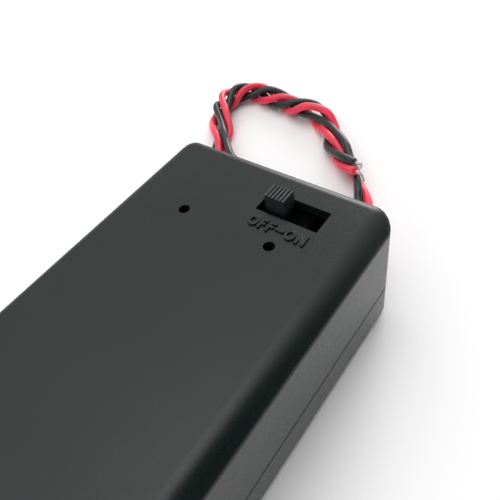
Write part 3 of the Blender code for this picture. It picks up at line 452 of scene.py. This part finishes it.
# Raised lettering beside the switch, in millimetres: the foot of the letters, their
# height, the width of a stroke, the rise and its rounding, and for each letter its
# left edge and its width
LETTER_FOOT = 23.3
LETTER_HEIGHT = 1.6
LETTER_STROKE = 0.32
LETTER_RISE = 0.26
LETTER_ROUND = 0.03
LETTERS = (("O", 1.95, 1.42), ("F", 3.55, 0.95), ("F", 4.75, 0.95), ("-", 5.9, 1.15),
           ("O", 7.3, 1.42), ("N", 8.98, 1.22))
O_SIDES = 28

# Middle bar of an F and the dash as shares of the letter's height and width, the slant
# of an N in strokes, and the length of its upright corners in millimetres
F_BAR_HEIGHT = 0.52
F_BAR_REACH = 0.85
DASH_HEIGHT = 0.42
N_SLANT = 1.25
N_CORNER = 0.25


def letter_loops(letter, left, width):
    """Closed outlines of one block letter, in millimetres from its foot."""
    high = LETTER_HEIGHT
    bar = LETTER_STROKE
    if letter == "O":
        loops = []
        for shrink in (0.0, bar):
            loops.append([
                (left + width / 2 + (width / 2 - shrink) * math.cos(math.tau * k / O_SIDES),
                 high / 2 + (high / 2 - shrink) * math.sin(math.tau * k / O_SIDES))
                for k in range(O_SIDES)])
        return loops
    if letter == "F":
        middle = F_BAR_HEIGHT * high
        reach = left + F_BAR_REACH * width
        return [[(left, 0), (left + bar, 0), (left + bar, middle - bar / 2),
                 (reach, middle - bar / 2), (reach, middle + bar / 2),
                 (left + bar, middle + bar / 2), (left + bar, high - bar), (left + width, high - bar),
                 (left + width, high), (left, high)]]
    if letter == "N":
        slant = N_SLANT * bar + N_CORNER
        return [[(left, 0), (left + bar, 0), (left + bar, high - slant),
                 (left + width - bar, 0), (left + width, 0), (left + width, high),
                 (left + width - bar, high), (left + width - bar, slant),
                 (left + bar, high), (left, high)]]
    low = DASH_HEIGHT * high
    return [[(left, low), (left + width, low), (left + width, low + bar), (left, low + bar)]]


def add_lettering():
    """OFF and ON beside the slot, raised a little from the top wall."""
    curve = bpy.data.curves.new("off_on_lettering", "CURVE")
    curve.dimensions = "2D"
    curve.fill_mode = "BOTH"
    curve.extrude = (LETTER_RISE - LETTER_ROUND) * MM
    curve.bevel_depth = LETTER_ROUND * MM
    curve.bevel_resolution = 2
    for letter, left, width in LETTERS:
        for loop in letter_loops(letter, left, width):
            spline = curve.splines.new("POLY")
            spline.points.add(len(loop) - 1)
            spline.use_cyclic_u = True
            for knot, (x, y) in zip(spline.points, loop):
                knot.co = (x * MM, (LETTER_FOOT + y) * MM, 0.0, 1.0)
    curve.materials.append(CASE)
    lettering = bpy.data.objects.new("off_on_lettering", curve)
    bpy.context.scene.collection.objects.link(lettering)
    lettering.location.z = TOP_Z
    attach(lettering, "case")


# Plain pale floor
FLOOR_HALF_SIZE = 1.5
FLOOR_COLOUR = (0.93, 0.93, 0.93, 1.0)
FLOOR_ROUGHNESS = 0.9


def add_floor():
    mesh = bpy.data.meshes.new("floor")
    shape = bmesh.new()
    bmesh.ops.create_grid(shape, x_segments=1, y_segments=1, size=FLOOR_HALF_SIZE)
    shape.to_mesh(mesh)
    shape.free()
    floor = bpy.data.objects.new("floor", mesh)
    bpy.context.scene.collection.objects.link(floor)
    material = bpy.data.materials.new("pale_floor")
    material.use_nodes = True
    shader = material.node_tree.nodes["Principled BSDF"]
    shader.inputs["Base Color"].default_value = FLOOR_COLOUR
    shader.inputs["Roughness"].default_value = FLOOR_ROUGHNESS
    shader.inputs["Specular IOR Level"].default_value = 0.0
    mesh.materials.append(material)


# The studio: soft light from above, a bright window on the far side, a weak one on
# the near side, and a dark screen on the right that the box's shoulder mirrors.
# A plain white backdrop stands round the horizon. OVERHEAD gives the level at each
# height towards its axis. The others each have an axis, the two cosines to it between
# which the level changes, and the level beyond the first and beyond the second.
OVERHEAD = ((0.0, 0.04), (0.35, 0.13), (0.6, 0.25), (0.70, 0.31), (0.78, 0.34), (0.85, 0.43),
            (0.92, 0.57), (1.0, 1.0))
OVERHEAD_LEVEL = 2.85
OVERHEAD_AXIS = Vector((-0.14, 0.06, 0.99))
FAR_WINDOW = (Vector((-0.24, 0.90, 0.37)), 0.925, 1.0, 0.0, 6.0)
DARK_SCREEN = (Vector((0.84, -0.34, 0.42)), 0.50, 0.74, 1.0, 0.02)
NEAR_WINDOW = (Vector((0.10, -0.90, 0.42)), 0.5, 1.0, 0.0, 0.8)
BACKDROP = (Vector((0.0, 0.0, 1.0)), 0.19, 0.28, 1.0, 0.0)


def add_studio():
    world = bpy.data.worlds.new("studio")
    bpy.context.scene.world = world
    world.use_nodes = True
    nodes = world.node_tree.nodes
    links = world.node_tree.links
    place = nodes.new("ShaderNodeTexCoord").outputs["Generated"]

    def towards(axis):
        """Cosine of the angle to a direction."""
        node = nodes.new("ShaderNodeVectorMath")
        node.operation = "DOT_PRODUCT"
        node.inputs[1].default_value = axis.normalized()
        links.new(place, node.inputs[0])
        return node.outputs["Value"]

    def lobe(axis, start, end, low, high):
        """Level that changes smoothly towards one direction."""
        cosine = towards(axis)
        level = nodes.new("ShaderNodeMapRange")
        level.interpolation_type = "SMOOTHSTEP"
        level.inputs["From Min"].default_value = start
        level.inputs["From Max"].default_value = end
        level.inputs["To Min"].default_value = low
        level.inputs["To Max"].default_value = high
        links.new(cosine, level.inputs["Value"])
        return level.outputs["Result"]

    def combine(operation, first, second):
        node = nodes.new("ShaderNodeMath")
        node.operation = operation
        for source, target in zip((first, second), node.inputs):
            if isinstance(source, float):
                target.default_value = source
            else:
                links.new(source, target)
        return node.outputs["Value"]

    steps = nodes.new("ShaderNodeValToRGB")
    elements = steps.color_ramp.elements
    while len(elements) < len(OVERHEAD):
        elements.new(0.5)
    for element, (height, level) in zip(elements, OVERHEAD):
        element.position = height
        element.color = (level, level, level, 1.0)
    links.new(towards(OVERHEAD_AXIS), steps.inputs["Fac"])
    total = combine("MULTIPLY", steps.outputs["Color"], OVERHEAD_LEVEL)
    total = combine("ADD", total, lobe(*FAR_WINDOW))
    total = combine("MULTIPLY", total, lobe(*DARK_SCREEN))
    total = combine("ADD", total, lobe(*NEAR_WINDOW))
    total = combine("MAXIMUM", total, lobe(*BACKDROP))
    light = nodes["Background"]
    light.inputs["Color"].default_value = (1.0, 1.0, 1.0, 1.0)
    links.new(total, light.inputs["Strength"])


add_camera()
add_lead("black", BLACK_ROUTE, BLACK_TIP, BLACK)
add_lead("red", RED_ROUTE, RED_TIP, RED)
dress_nodes()
add_lettering()
add_floor()
add_studio()
bpy.context.scene.view_settings.view_transform = "Standard"
